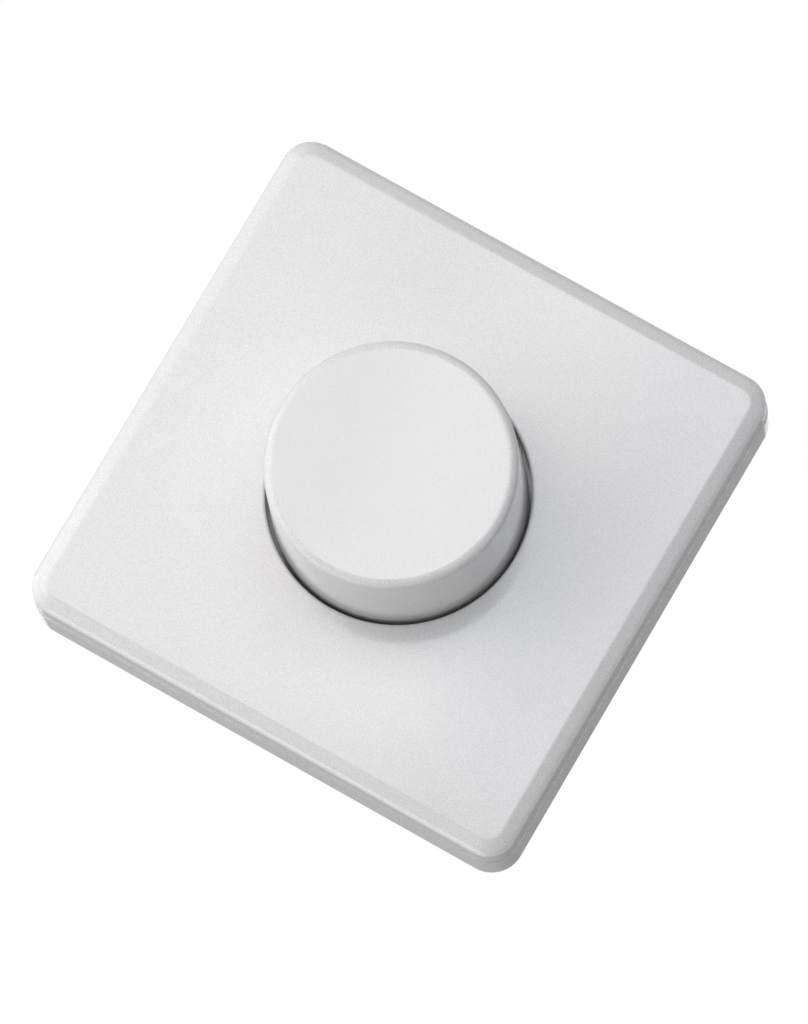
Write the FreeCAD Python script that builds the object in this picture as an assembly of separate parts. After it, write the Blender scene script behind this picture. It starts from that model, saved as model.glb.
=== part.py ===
# Flush-mounted rotary dimmer: square cover plate, push-and-turn knob and the insert for the wall box.
# Lengths are in millimetres. Each piece is drawn with the wall as the plane z = 0 and the room
# towards +z. It is then turned upright, so that the front faces -Y, up is +Z and the wall is Y = 0.
import FreeCAD, Part
import math
import os

from FreeCAD import Vector

# Cover plate
PLATE_SIZE = 80.0
PLATE_HEIGHT = 13.0
PLATE_CORNER = 4.75
PLATE_WALL = 2.0
FACE_THICK = 2.2
BORDER_WIDTH = 2.2
BORDER_DROP = 0.9
FACE_EDGE_ROUND = 1.4
SHOULDER_ROUND = 1.6
SIDE_DRAFT = 0.45
LEDGE_DROP = 5.8
LEDGE_INSET = 0.22
LEDGE_ROUND = 0.12
WELL_RADIUS = 19.2
WELL_WALL = 1.8
WELL_EDGE_ROUND = 0.45
FLOOR_THICK = 1.8
RIB_THICK = 1.4
RIB_COUNT = 4
RIB_CLEARANCE = 3.6

# Knob
KNOB_RISE = 19.0
KNOB_GAP = 0.65
KNOB_TAPER = 0.5
KNOB_SKIRT = 2.6
KNOB_WALL = 1.8
KNOB_TOP_WALL = 2.2
KNOB_EDGE_ROUND = 1.4
KNOB_TRAVEL = 1.6
KNOB_RIB_COUNT = 6
KNOB_RIB_THICK = 1.2
KNOB_RIB_RAISE = 5.0
HUB_RADIUS = 5.4
HUB_SLOT_WIDTH = 1.0
HUB_SLOT_DEPTH = 8.0
GRIP_GROOVE_DEPTH = 0.5
GRIP_GROOVE_RAISE = 1.5
GRIP_RING_HEIGHT = 2.1
GRIP_RING_THICK = 0.7
GRIP_RING_GAP = 1.5

# Support frame with the nuts and the threaded bush
FRAME_THICK = 1.2
FRAME_CLEARANCE = 2.5
FRAME_CORNER = 6.0
BOX_SCREW_SPACING = 60.0
BOX_SLOT_WIDTH = 3.6
BOX_SLOT_LENGTH = 6.6
WALL_HOLE_RADIUS = 1.8
WALL_HOLE_INSET = 6.0
BEAD_LENGTH = 13.0
BEAD_WIDTH = 3.2
BEAD_RISE = 0.6
BEAD_WALL = 0.7
BEAD_INSET = 4.0
BEAD_OFFSET = 16.5
BUSH_RADIUS = 5.0
BUSH_FLANGE_RADIUS = 8.0
BUSH_FLANGE_THICK = 1.6
BUSH_RISE = 0.8
BUSH_CHAMFER = 0.5
BUSH_NUT_FLATS = 14.0
BUSH_NUT_HEIGHT = 2.2
WASHER_RADIUS = 8.2
WASHER_THICK = 0.8
WASHER_TEETH = 12
WASHER_NOTCH = 1.4
WASHER_NOTCH_DEPTH = 1.6
PLATE_NUT_FLATS = 14.0
PLATE_NUT_HEIGHT = 2.8
PLATE_NUT_FLANGE_RADIUS = 9.0
PLATE_NUT_FLANGE_THICK = 1.0

# Spindle
SPINDLE_RADIUS = 3.0
SPINDLE_FLAT = 1.6
CLIP_RADIUS = 4.3
CLIP_THICK = 0.8
CLIP_GROOVE_RADIUS = 2.4
CLIP_MOUTH = 3.6

# Potentiometer
POT_RADIUS = 10.5
POT_HEIGHT = 7.8
POT_WALL = 0.8
POT_FRONT_THICK = 1.0
WAFER_THICK = 1.2
TRACK_RAISE = 0.15
TRACK_INNER = 6.0
TRACK_OUTER = 8.0
TRACK_ANGLE = 290.0
COLLECTOR_INNER = 4.9
COLLECTOR_OUTER = 5.6
ROTOR_RADIUS = 8.6
ROTOR_HUB_RADIUS = 4.1
ROTOR_DISC_THICK = 1.5
WIPER_THICK = 0.3
WIPER_OUTER = 6.6
FINGER_WIDTH = 1.2
FINGER_LENGTH = 4.5

# Circuit board and the rear housing
BOARD_THICK = 1.6
INSERT_RADIUS = 27.0
INSERT_WIDTH = 46.0
INSERT_TALL = 48.0
INSERT_DEPTH = 27.0
INSERT_WALL = 1.6
INSERT_BACK_WALL = 1.8
INSERT_BACK_ROUND = 1.2
COLLAR_REACH = 1.0
COLLAR_THICK = 1.8
SIDE_RIB_COUNT = 5
SIDE_RIB_PITCH = 5.0
SIDE_RIB_THICK = 1.2
SIDE_RIB_RAISE = 0.8
SIDE_RIB_LENGTH = 19.0
GAUGE_LENGTH = 11.0
GAUGE_WIDTH = 2.0
GAUGE_DEPTH = 0.5
GAUGE_RAISE = 12.0
SCREW_X = 14.5
SCREW_Y = 18.6
SCREW_RADIUS = 1.2
SCREW_LENGTH = 10.0
SCREW_HEAD_RADIUS = 2.3
SCREW_HEAD_HEIGHT = 1.5
SCREW_SLOT_WIDTH = 0.6
SCREW_SLOT_DEPTH = 0.7
BOSS_RADIUS = 2.7

# Push switch
SWITCH_WIDTH = 12.0
SWITCH_HEIGHT = 9.5
SWITCH_WALL = 1.0
PLUNGER_RADIUS = 2.6
PLUNGER_FLANGE_RADIUS = 3.5
PLUNGER_FLANGE_THICK = 1.2
PLUNGER_GUIDE_RADIUS = 1.8
PLUNGER_GUIDE_LENGTH = 2.4
BRIDGE_LENGTH = 8.2
BRIDGE_WIDTH = 5.4
BRIDGE_THICK = 0.5
CONTACT_GAP = 0.15
CONTACT_FOOT = 1.5
CONTACT_WIDTH = 2.4
CONTACT_THICK = 0.5
SPRING_RADIUS = 2.55
SPRING_WIRE = 0.5
SPRING_HALF_TURNS = 9
SPRING_STUD_RADIUS = 1.9
SPRING_STUD_HEIGHT = 1.0

# Triac, cooled by the support frame
TRIAC_HOLE_X = 5.0
TRIAC_WIDTH = 10.0
TRIAC_BODY_LENGTH = 9.0
TRIAC_BODY_THICK = 4.4
TRIAC_TAB_LENGTH = 6.5
TRIAC_TAB_THICK = 1.3
TRIAC_LEAD_PITCH = 2.54
TRIAC_LEAD_REACH = 2.5
TRIAC_LEAD_DROP = 2.9
LEAD_RADIUS = 0.35
PAD_THICK = 0.3
PAD_BORDER = 0.5
TRIAC_SCREW_RADIUS = 1.45
TRIAC_SCREW_HEAD_RADIUS = 2.75
TRIAC_SCREW_HEAD_HEIGHT = 1.8
TRIAC_SCREW_TAIL = 0.8
TRIAC_NUT_FLATS = 5.5
TRIAC_NUT_HEIGHT = 2.4

# Interference choke
CHOKE_PLACE = (0.0, 14.6)
CHOKE_OUTER = 6.4
CHOKE_INNER = 3.4
CHOKE_HEIGHT = 6.4
CHOKE_WIRE = 0.9
CHOKE_TURNS = 14

# Other parts on the circuit board
BIG_CAPACITOR_PLACE = (-14.5, -1.0)
BIG_CAPACITOR_WIDTH = 6.0
BIG_CAPACITOR_TALL = 13.0
BIG_CAPACITOR_HEIGHT = 11.0
SMALL_CAPACITOR_PLACE = (0.0, -14.6)
SMALL_CAPACITOR_WIDTH = 7.2
SMALL_CAPACITOR_TALL = 3.6
SMALL_CAPACITOR_HEIGHT = 6.4
CAPACITOR_CORNER = 0.8
RESISTOR_X = 6.5
RESISTOR_Y = -18.6
RESISTOR_RADIUS = 1.2
RESISTOR_LENGTH = 6.0
DIODE_Y = -20.6
DIODE_RADIUS = 0.9
DIODE_LENGTH = 3.0
LEAD_REACH = 1.0
LEAD_STANDOFF = 0.3
FUSE_PLACE = (14.0, -1.0)
FUSE_LENGTH = 20.0
FUSE_RADIUS = 2.6
FUSE_GLASS = 0.6
FUSE_CAP_WALL = 0.2
FUSE_CAP_LENGTH = 5.0
FUSE_STANDOFF = 1.2
CLIP_SPRING_THICK = 0.45
CLIP_SPRING_WIDTH = 3.6

# Terminals
TERMINAL_COUNT = 3
TERMINAL_PITCH = 7.0
TERMINAL_WALL = 1.0
CAGE_WIDTH = 5.6
CAGE_TALL = 6.6
CAGE_LENGTH = 9.0
WIRE_RADIUS = 1.8
TERMINAL_SCREW_RADIUS = 1.5
TERMINAL_SCREW_BACKOFF = 0.2
TERMINAL_HEAD_RADIUS = 2.1
TERMINAL_HEAD_HEIGHT = 1.8

# Clearances
THREAD_CLEARANCE = 0.05
RUNNING_CLEARANCE = 0.06
SLIDING_CLEARANCE = 0.1
LOOSE_CLEARANCE = 0.3
BOARD_CLEARANCE = 0.4
SEAT_CLEARANCE = 0.05
TINY = 0.001

# Heights that follow from the stack, counted from the wall towards the room
FACE_BACK = PLATE_HEIGHT - FACE_THICK
SHOULDER_HEIGHT = PLATE_HEIGHT - BORDER_DROP
LEDGE_HEIGHT = PLATE_HEIGHT - LEDGE_DROP
WASHER_TOP = FRAME_THICK + WASHER_THICK
BUSH_NUT_TOP = WASHER_TOP + BUSH_NUT_HEIGHT
FLOOR_BACK = BUSH_NUT_TOP
FLOOR_FRONT = FLOOR_BACK + FLOOR_THICK
PLATE_NUT_TOP = FLOOR_FRONT + PLATE_NUT_HEIGHT
BUSH_TOP = PLATE_NUT_TOP + BUSH_RISE
RIB_FOOT = FRAME_THICK + RIB_CLEARANCE
KNOB_TOP = PLATE_HEIGHT + KNOB_RISE
KNOB_BOTTOM = PLATE_HEIGHT - KNOB_SKIRT
KNOB_CEILING = KNOB_TOP - KNOB_TOP_WALL
HUB_BOTTOM = BUSH_TOP + KNOB_TRAVEL + LOOSE_CLEARANCE
SPINDLE_TOP = KNOB_CEILING - LOOSE_CLEARANCE
BUSH_BACK = -BUSH_FLANGE_THICK
CLIP_TOP = BUSH_BACK - SLIDING_CLEARANCE
CLIP_BOTTOM = CLIP_TOP - CLIP_THICK
BOARD_FRONT = BUSH_BACK - POT_HEIGHT
BOARD_BACK = BOARD_FRONT - BOARD_THICK
WAFER_TOP = BOARD_FRONT + WAFER_THICK
TRACK_TOP = WAFER_TOP + TRACK_RAISE
ROTOR_TOP = CLIP_BOTTOM - KNOB_TRAVEL - LOOSE_CLEARANCE
ROTOR_DISC_BACK = ROTOR_TOP - ROTOR_DISC_THICK
SPINDLE_BOTTOM = BOARD_BACK + KNOB_TRAVEL + LOOSE_CLEARANCE
ROTOR_BOTTOM = max(BOARD_FRONT + LOOSE_CLEARANCE, SPINDLE_BOTTOM)
PLUNGER_TOP = SPINDLE_BOTTOM - SEAT_CLEARANCE
SWITCH_ROOF = BOARD_BACK - SWITCH_WALL
SWITCH_BACK = BOARD_BACK - SWITCH_HEIGHT
SWITCH_FLOOR = SWITCH_BACK + SWITCH_WALL
PLUNGER_FLANGE_TOP = SWITCH_ROOF - SEAT_CLEARANCE
BRIDGE_TOP = PLUNGER_FLANGE_TOP - PLUNGER_FLANGE_THICK
BRIDGE_BOTTOM = BRIDGE_TOP - BRIDGE_THICK
CONTACT_TOP = BRIDGE_BOTTOM - KNOB_TRAVEL - CONTACT_GAP
INSERT_FLOOR = INSERT_BACK_WALL - INSERT_DEPTH
TAB_BACK = -PAD_THICK - TRIAC_TAB_THICK

# Plan sizes that follow from the driving sizes
KNOB_FACE_RADIUS = WELL_RADIUS - KNOB_GAP
INNER_SIZE = PLATE_SIZE - 2 * PLATE_WALL
FRAME_SIZE = INNER_SIZE - 2 * FRAME_CLEARANCE
TRIAC_TOP = INSERT_TALL / 2 - INSERT_WALL - LOOSE_CLEARANCE - PAD_BORDER
TRIAC_HOLE = (TRIAC_HOLE_X, TRIAC_TOP - TRIAC_WIDTH / 2)
HOUSING_SCREWS = [(sx * SCREW_X, sy * SCREW_Y) for sx in (-1, 1) for sy in (-1, 1)]
TRIAC_BODY_RIGHT = TRIAC_HOLE[0] - TRIAC_TAB_LENGTH / 2
TRIAC_BODY_LEFT = TRIAC_BODY_RIGHT - TRIAC_BODY_LENGTH
TERMINAL_PLACES = [TERMINAL_PITCH * (i - (TERMINAL_COUNT - 1) / 2) for i in range(TERMINAL_COUNT)]
HOUSING_BOTTOM = -INSERT_TALL / 2
HOUSING_BOTTOM_INNER = HOUSING_BOTTOM + INSERT_WALL
CAGE_BOTTOM = HOUSING_BOTTOM_INNER + TERMINAL_WALL
CAGE_MIDDLE = CAGE_BOTTOM + CAGE_TALL / 2
TERMINAL_SCREW_REACH = CAGE_TALL / 2 - WIRE_RADIUS - TERMINAL_SCREW_BACKOFF
CAGE_FRONT = BOARD_BACK - TERMINAL_WALL
CAGE_BACK = CAGE_FRONT - CAGE_LENGTH
FUSE_AXIS = BOARD_BACK - FUSE_STANDOFF - FUSE_RADIUS
CONTACT_OUTER = SWITCH_WIDTH / 2 - SWITCH_WALL - SEAT_CLEARANCE


def cylinder(radius, z_low, z_high, x=0.0, y=0.0):
    """Cylinder along the knob axis between two heights."""
    return Part.makeCylinder(radius, z_high - z_low, Vector(x, y, z_low))


def ring(outer, inner, z_low, z_high, x=0.0, y=0.0):
    """Plain ring along the knob axis."""
    return cylinder(outer, z_low, z_high, x, y).cut(cylinder(inner, z_low, z_high, x, y))


def block(width, tall, z_low, z_high, x=0.0, y=0.0):
    """Box centred on (x, y) in plan."""
    return Part.makeBox(width, tall, z_high - z_low, Vector(x - width / 2, y - tall / 2, z_low))


def edges_at(solid, z):
    """Edges that lie wholly at one height."""
    return [e for e in solid.Edges if max(abs(v.Z - z) for v in e.Vertexes) < TINY]


def rounded_block(width, tall, corner, z_low, z_high, x=0.0, y=0.0):
    """Box with rounded upright edges."""
    solid = block(width, tall, z_low, z_high, x, y)
    upright = [e for e in solid.Edges if abs(e.Vertexes[0].Z - e.Vertexes[1].Z) > TINY]
    return solid.makeFillet(corner, upright)


def slot(length, width, z_low, z_high, x=0.0, y=0.0):
    """Round-ended slot that runs along x."""
    run = length - width
    middle = block(run, width, z_low, z_high, x, y)
    ends = [cylinder(width / 2, z_low, z_high, x + side * run / 2, y) for side in (-1, 1)]
    return middle.fuse(ends)


def hexagon(across_flats, z_low, z_high, x=0.0, y=0.0):
    """Hexagonal bar along the knob axis."""
    radius = across_flats / math.sqrt(3)
    corners = []
    for step in range(7):
        angle = math.radians(60 * step)
        corners.append(Vector(x + radius * math.cos(angle), y + radius * math.sin(angle), z_low))
    return Part.Face(Part.makePolygon(corners)).extrude(Vector(0, 0, z_high - z_low))


def revolved(profile):
    """Turned solid from the (radius, height) corners of its half section."""
    corners = [Vector(radius, 0, height) for radius, height in profile]
    face = Part.Face(Part.makePolygon(corners + corners[:1]))
    return face.revolve(Vector(0, 0, 0), Vector(0, 0, 1), 360)


def flat_cutter(flat, radius, z_low, z_high):
    """Block that cuts a flat on the +y side of a round bar, at the given distance from its axis."""
    return block(4 * radius, 2 * radius, z_low, z_high, 0, flat + radius)


def d_bar(radius, flat, z_low, z_high):
    """Round bar with one flat."""
    return cylinder(radius, z_low, z_high).cut(flat_cutter(flat, radius, z_low, z_high))


def turned(shape, angle):
    """Copy of a shape, turned about the knob axis."""
    copy = shape.copy()
    copy.rotate(Vector(0, 0, 0), Vector(0, 0, 1), angle)
    return copy


def rod_along(direction, radius, length, start):
    """Round rod from a start point along a direction."""
    return Part.makeCylinder(radius, length, start, direction)


def knob_radius(height):
    """Outer radius of the tapered knob at a height."""
    return KNOB_FACE_RADIUS - KNOB_TAPER / KNOB_RISE * (height - PLATE_HEIGHT)


def insert_form(inset, z_low, z_high):
    """Plan form of the insert, a round drum with four flats, drawn in by an inset."""
    drum = cylinder(INSERT_RADIUS - inset, z_low, z_high)
    return drum.common(block(INSERT_WIDTH - 2 * inset, INSERT_TALL - 2 * inset, z_low, z_high))


def pan_screw(head_radius, head_height, radius, length, x, y):
    """Slotted screw through the support frame, with its head on the room side."""
    head_top = FRAME_THICK + head_height
    head = cylinder(head_radius, FRAME_THICK, head_top, x, y)
    head = head.makeFillet(head_height / 2, edges_at(head, head_top))
    notch = block(2 * head_radius, SCREW_SLOT_WIDTH, head_top - SCREW_SLOT_DEPTH, head_top, x, y)
    shank = cylinder(radius, FRAME_THICK - length, FRAME_THICK, x, y)
    return head.cut(notch).fuse(shank)


def plate_front():
    """Upper part of the cover plate: upright side, rounded shoulder, sloping border and flat face."""
    corner = PLATE_CORNER - LEDGE_INSET
    straight = PLATE_SIZE - 2 * PLATE_CORNER
    profile = [
        (corner, LEDGE_HEIGHT),
        (corner - SIDE_DRAFT, SHOULDER_HEIGHT),
        (corner - BORDER_WIDTH, PLATE_HEIGHT),
        (0, PLATE_HEIGHT),
        (0, LEDGE_HEIGHT),
    ]
    points = [Vector(radius, 0, height) for radius, height in profile]
    section = Part.Face(Part.makePolygon(points + points[:1]))
    axis = Vector(straight / 2, straight / 2, 0)
    section.translate(axis)
    corner_piece = section.revolve(axis, Vector(0, 0, 1), 90)
    side_piece = section.extrude(Vector(0, -straight, 0))
    middle = block(straight, straight, LEDGE_HEIGHT, PLATE_HEIGHT)
    round_about = [turned(piece, 90 * step) for piece in (corner_piece, side_piece) for step in range(4)]
    front = middle.fuse(round_about).removeSplitter()
    front = front.makeFillet(SHOULDER_ROUND, edges_at(front, SHOULDER_HEIGHT))
    return front.makeFillet(FACE_EDGE_ROUND, edges_at(front, PLATE_HEIGHT))


def cover_plate():
    """Moulded square plate: sloping border, ledge in the side, knob well with a floor, and ribs."""
    skirt = rounded_block(PLATE_SIZE, PLATE_SIZE, PLATE_CORNER, 0, LEDGE_HEIGHT)
    skirt = skirt.makeFillet(LEDGE_ROUND, edges_at(skirt, LEDGE_HEIGHT))
    upper = plate_front()
    cavity = rounded_block(INNER_SIZE, INNER_SIZE, PLATE_CORNER - PLATE_WALL, 0, FACE_BACK)
    shell = skirt.fuse(upper).cut(cavity)
    tube_radius = WELL_RADIUS + WELL_WALL
    rib_start = WELL_RADIUS + WELL_WALL / 2
    rib_end = (INNER_SIZE + PLATE_WALL) / 2
    rib_middle = (rib_start + rib_end) / 2
    rib = block(rib_end - rib_start, RIB_THICK, RIB_FOOT, FACE_BACK, rib_middle)
    ribs = [turned(rib, 360 / RIB_COUNT * step) for step in range(RIB_COUNT)]
    shell = shell.fuse([cylinder(tube_radius, FLOOR_BACK, FACE_BACK)] + ribs)
    shell = shell.cut(cylinder(WELL_RADIUS, FLOOR_FRONT, PLATE_HEIGHT))
    shell = shell.cut(cylinder(BUSH_RADIUS + SLIDING_CLEARANCE, FLOOR_BACK, FLOOR_FRONT))
    shell = shell.removeSplitter()
    mouth = []
    for edge in edges_at(shell, PLATE_HEIGHT):
        point = edge.Vertexes[0]
        if abs(math.hypot(point.X, point.Y) - WELL_RADIUS) < TINY:
            mouth.append(edge)
    return shell.makeFillet(WELL_EDGE_ROUND, mouth)


def knob():
    """Hollow tapered knob with a slotted hub on the spindle and ribs to its skirt."""
    outside = revolved([
        (0, KNOB_BOTTOM),
        (knob_radius(KNOB_BOTTOM), KNOB_BOTTOM),
        (knob_radius(KNOB_TOP), KNOB_TOP),
        (0, KNOB_TOP),
    ])
    rim = [e for e in edges_at(outside, KNOB_TOP) if e.BoundBox.YLength > SPINDLE_RADIUS]
    outside = outside.makeFillet(KNOB_EDGE_ROUND, rim)
    hollow = revolved([
        (0, KNOB_BOTTOM),
        (knob_radius(KNOB_BOTTOM) - KNOB_WALL, KNOB_BOTTOM),
        (knob_radius(KNOB_CEILING) - KNOB_WALL, KNOB_CEILING),
        (0, KNOB_CEILING),
    ])
    hub = cylinder(HUB_RADIUS, HUB_BOTTOM, KNOB_CEILING)
    rib_end = knob_radius(KNOB_CEILING) - KNOB_WALL / 2
    rib = block(rib_end, KNOB_RIB_THICK, HUB_BOTTOM + KNOB_RIB_RAISE, KNOB_CEILING, rib_end / 2)
    step = 360 / KNOB_RIB_COUNT
    ribs = [turned(rib, step * (i + 0.5)) for i in range(KNOB_RIB_COUNT)]
    groove_low = HUB_BOTTOM + GRIP_GROOVE_RAISE
    groove_high = groove_low + GRIP_RING_HEIGHT + 2 * SEAT_CLEARANCE
    groove = ring(2 * HUB_RADIUS, HUB_RADIUS - GRIP_GROOVE_DEPTH, groove_low, groove_high)
    bore = d_bar(SPINDLE_RADIUS, SPINDLE_FLAT, HUB_BOTTOM, SPINDLE_TOP + LOOSE_CLEARANCE / 2)
    split = block(2 * HUB_RADIUS, HUB_SLOT_WIDTH, HUB_BOTTOM, HUB_BOTTOM + HUB_SLOT_DEPTH)
    hub = hub.cut(groove)
    return outside.cut(hollow).fuse([hub] + ribs).cut([bore, split]).removeSplitter()


def knob_grip_ring():
    """Open spring ring in the groove of the knob's hub."""
    low = HUB_BOTTOM + GRIP_GROOVE_RAISE + SEAT_CLEARANCE
    inner = HUB_RADIUS - GRIP_GROOVE_DEPTH + SEAT_CLEARANCE
    band = ring(inner + GRIP_RING_THICK, inner, low, low + GRIP_RING_HEIGHT)
    mouth = block(GRIP_RING_GAP, 2 * HUB_RADIUS, low, low + GRIP_RING_HEIGHT, 0, -HUB_RADIUS)
    return band.cut(mouth)


def plate_nut():
    """Flanged nut that clamps the cover plate on the bush."""
    flange_top = FLOOR_FRONT + PLATE_NUT_FLANGE_THICK
    flange = cylinder(PLATE_NUT_FLANGE_RADIUS, FLOOR_FRONT, flange_top)
    body = flange.fuse(hexagon(PLATE_NUT_FLATS, flange_top, PLATE_NUT_TOP))
    return body.cut(cylinder(BUSH_RADIUS + THREAD_CLEARANCE, FLOOR_FRONT, PLATE_NUT_TOP))


def bush_nut():
    """Flat hexagon nut that holds the bush in the support frame."""
    body = hexagon(BUSH_NUT_FLATS, WASHER_TOP, BUSH_NUT_TOP)
    return body.cut(cylinder(BUSH_RADIUS + THREAD_CLEARANCE, WASHER_TOP, BUSH_NUT_TOP))


def lock_washer():
    """Toothed washer under the bush nut."""
    body = ring(WASHER_RADIUS, BUSH_RADIUS + SLIDING_CLEARANCE, FRAME_THICK, WASHER_TOP)
    notch_middle = WASHER_RADIUS - WASHER_NOTCH_DEPTH / 2
    notch = block(WASHER_NOTCH_DEPTH + TINY, WASHER_NOTCH, FRAME_THICK, WASHER_TOP, notch_middle)
    return body.cut([turned(notch, 360 / WASHER_TEETH * step) for step in range(WASHER_TEETH)])


def stiffening_beads():
    """Pressed beads along the edges of the support frame, as raised fronts and hollow backs."""
    fronts = []
    backs = []
    edge = FRAME_SIZE / 2 - BEAD_INSET
    hollow = (BEAD_LENGTH - 2 * BEAD_WALL, BEAD_WIDTH - 2 * BEAD_WALL)
    for offset in (-BEAD_OFFSET, BEAD_OFFSET):
        front = slot(BEAD_LENGTH, BEAD_WIDTH, FRAME_THICK, FRAME_THICK + BEAD_RISE, offset, edge)
        back = slot(*hollow, 0, BEAD_RISE, offset, edge)
        fronts += [turned(front, 90 * step) for step in range(4)]
        backs += [turned(back, 90 * step) for step in range(4)]
    return fronts, backs


def support_frame():
    """Stamped steel frame with beads, slots for the wall box screws and holes for wall screws."""
    plate = rounded_block(FRAME_SIZE, FRAME_SIZE, FRAME_CORNER, 0, FRAME_THICK)
    fronts, holes = stiffening_beads()
    plate = plate.fuse(fronts)
    box_slot = slot(BOX_SLOT_LENGTH, BOX_SLOT_WIDTH, 0, FRAME_THICK, BOX_SCREW_SPACING / 2)
    corner = FRAME_SIZE / 2 - WALL_HOLE_INSET
    wall_hole = cylinder(WALL_HOLE_RADIUS, 0, FRAME_THICK, corner, corner)
    holes += [turned(hole, 90 * step) for hole in (box_slot, wall_hole) for step in range(4)]
    holes.append(cylinder(BUSH_RADIUS + SLIDING_CLEARANCE, 0, FRAME_THICK))
    holes.append(cylinder(TRIAC_SCREW_RADIUS + LOOSE_CLEARANCE, 0, FRAME_THICK, *TRIAC_HOLE))
    for x, y in HOUSING_SCREWS:
        holes.append(cylinder(SCREW_RADIUS + LOOSE_CLEARANCE, 0, FRAME_THICK, x, y))
    return plate.cut(holes)


def threaded_bush():
    """Bearing bush of the spindle, with its flange behind the support frame."""
    barrel = cylinder(BUSH_RADIUS, 0, BUSH_TOP)
    barrel = barrel.makeChamfer(BUSH_CHAMFER, edges_at(barrel, BUSH_TOP))
    body = barrel.fuse(cylinder(BUSH_FLANGE_RADIUS, BUSH_BACK, 0))
    return body.cut(cylinder(SPINDLE_RADIUS + RUNNING_CLEARANCE, BUSH_BACK, BUSH_TOP))


def spindle():
    """Round shaft with a flat for the knob, a flat for the rotor and a groove for its clip."""
    bar = cylinder(SPINDLE_RADIUS, SPINDLE_BOTTOM, SPINDLE_TOP)
    knob_flat = flat_cutter(SPINDLE_FLAT, SPINDLE_RADIUS, HUB_BOTTOM, SPINDLE_TOP)
    rotor_flat = flat_cutter(SPINDLE_FLAT, SPINDLE_RADIUS, SPINDLE_BOTTOM, CLIP_BOTTOM)
    low = CLIP_BOTTOM - SEAT_CLEARANCE
    high = CLIP_TOP + SEAT_CLEARANCE
    groove = ring(2 * SPINDLE_RADIUS, CLIP_GROOVE_RADIUS, low, high)
    return bar.cut([knob_flat, rotor_flat, groove])


def spindle_clip():
    """Retaining ring that keeps the spindle from coming out of the bush."""
    body = ring(CLIP_RADIUS, CLIP_GROOVE_RADIUS + SEAT_CLEARANCE, CLIP_BOTTOM, CLIP_TOP)
    return body.cut(block(CLIP_MOUTH, CLIP_RADIUS, CLIP_BOTTOM, CLIP_TOP, 0, -CLIP_RADIUS / 2))


def pot_case():
    """Drawn cup of the potentiometer, seated between the bush and the circuit board."""
    cup = cylinder(POT_RADIUS, BOARD_FRONT, BUSH_BACK)
    cavity = cylinder(POT_RADIUS - POT_WALL, BOARD_FRONT, BUSH_BACK - POT_FRONT_THICK)
    mouth = cylinder(CLIP_RADIUS + LOOSE_CLEARANCE, BOARD_FRONT, BUSH_BACK)
    return cup.cut([cavity, mouth])


def track_wafer():
    """Insulating wafer with the resistance track and the collector ring printed on it."""
    hole = ROTOR_HUB_RADIUS + LOOSE_CLEARANCE
    wafer = ring(POT_RADIUS - POT_WALL - SLIDING_CLEARANCE, hole, BOARD_FRONT, WAFER_TOP)
    foot = Vector(0, 0, WAFER_TOP)
    track = Part.makeCylinder(TRACK_OUTER, TRACK_RAISE, foot, Vector(0, 0, 1), TRACK_ANGLE)
    track = turned(track.cut(cylinder(TRACK_INNER, WAFER_TOP, TRACK_TOP)), 90 - TRACK_ANGLE / 2)
    collector = ring(COLLECTOR_OUTER, COLLECTOR_INNER, WAFER_TOP, TRACK_TOP)
    return wafer.fuse([track, collector])


def wiper_rotor():
    """Moulded rotor, turned by the spindle that slides through it."""
    disc = cylinder(ROTOR_RADIUS, ROTOR_DISC_BACK, ROTOR_TOP)
    hub = cylinder(ROTOR_HUB_RADIUS, ROTOR_BOTTOM, ROTOR_TOP)
    bore_radius = SPINDLE_RADIUS + RUNNING_CLEARANCE
    bore = d_bar(bore_radius, SPINDLE_FLAT + RUNNING_CLEARANCE, ROTOR_BOTTOM, ROTOR_TOP)
    return disc.fuse(hub).cut(bore).removeSplitter()


def wiper_spring():
    """Brass spring under the rotor, with one finger on the track and one on the collector ring."""
    top = ROTOR_DISC_BACK
    plate = ring(WIPER_OUTER, ROTOR_HUB_RADIUS + SEAT_CLEARANCE, top - WIPER_THICK, top)
    reach = FINGER_LENGTH / 2
    tip = TRACK_TOP + SEAT_CLEARANCE
    on_track = (TRACK_INNER + TRACK_OUTER) / 2
    on_collector = -(COLLECTOR_INNER + COLLECTOR_OUTER) / 2
    fingers = []
    for middle in (on_track, on_collector):
        edge = middle - FINGER_WIDTH / 2
        corners = [
            Vector(edge, -reach, top),
            Vector(edge, reach, tip + WIPER_THICK),
            Vector(edge, reach, tip),
            Vector(edge, -reach, top - WIPER_THICK),
        ]
        face = Part.Face(Part.makePolygon(corners + corners[:1]))
        fingers.append(face.extrude(Vector(FINGER_WIDTH, 0, 0)))
    hub_room = cylinder(ROTOR_HUB_RADIUS + SEAT_CLEARANCE, TRACK_TOP, top)
    return plate.fuse(fingers).cut(hub_room)


def lead_points():
    """Plan places where leads pass through the circuit board."""
    x = TRIAC_BODY_LEFT - TRIAC_LEAD_REACH
    points = [(x, TRIAC_HOLE[1] + TRIAC_LEAD_PITCH * step) for step in (-1, 0, 1)]
    reach = RESISTOR_LENGTH / 2 + LEAD_REACH
    for side in (-1, 1):
        points += [(side * RESISTOR_X + end * reach, RESISTOR_Y) for end in (-1, 1)]
    reach = DIODE_LENGTH / 2 + LEAD_REACH
    points += [(end * reach, DIODE_Y) for end in (-1, 1)]
    return points


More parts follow.
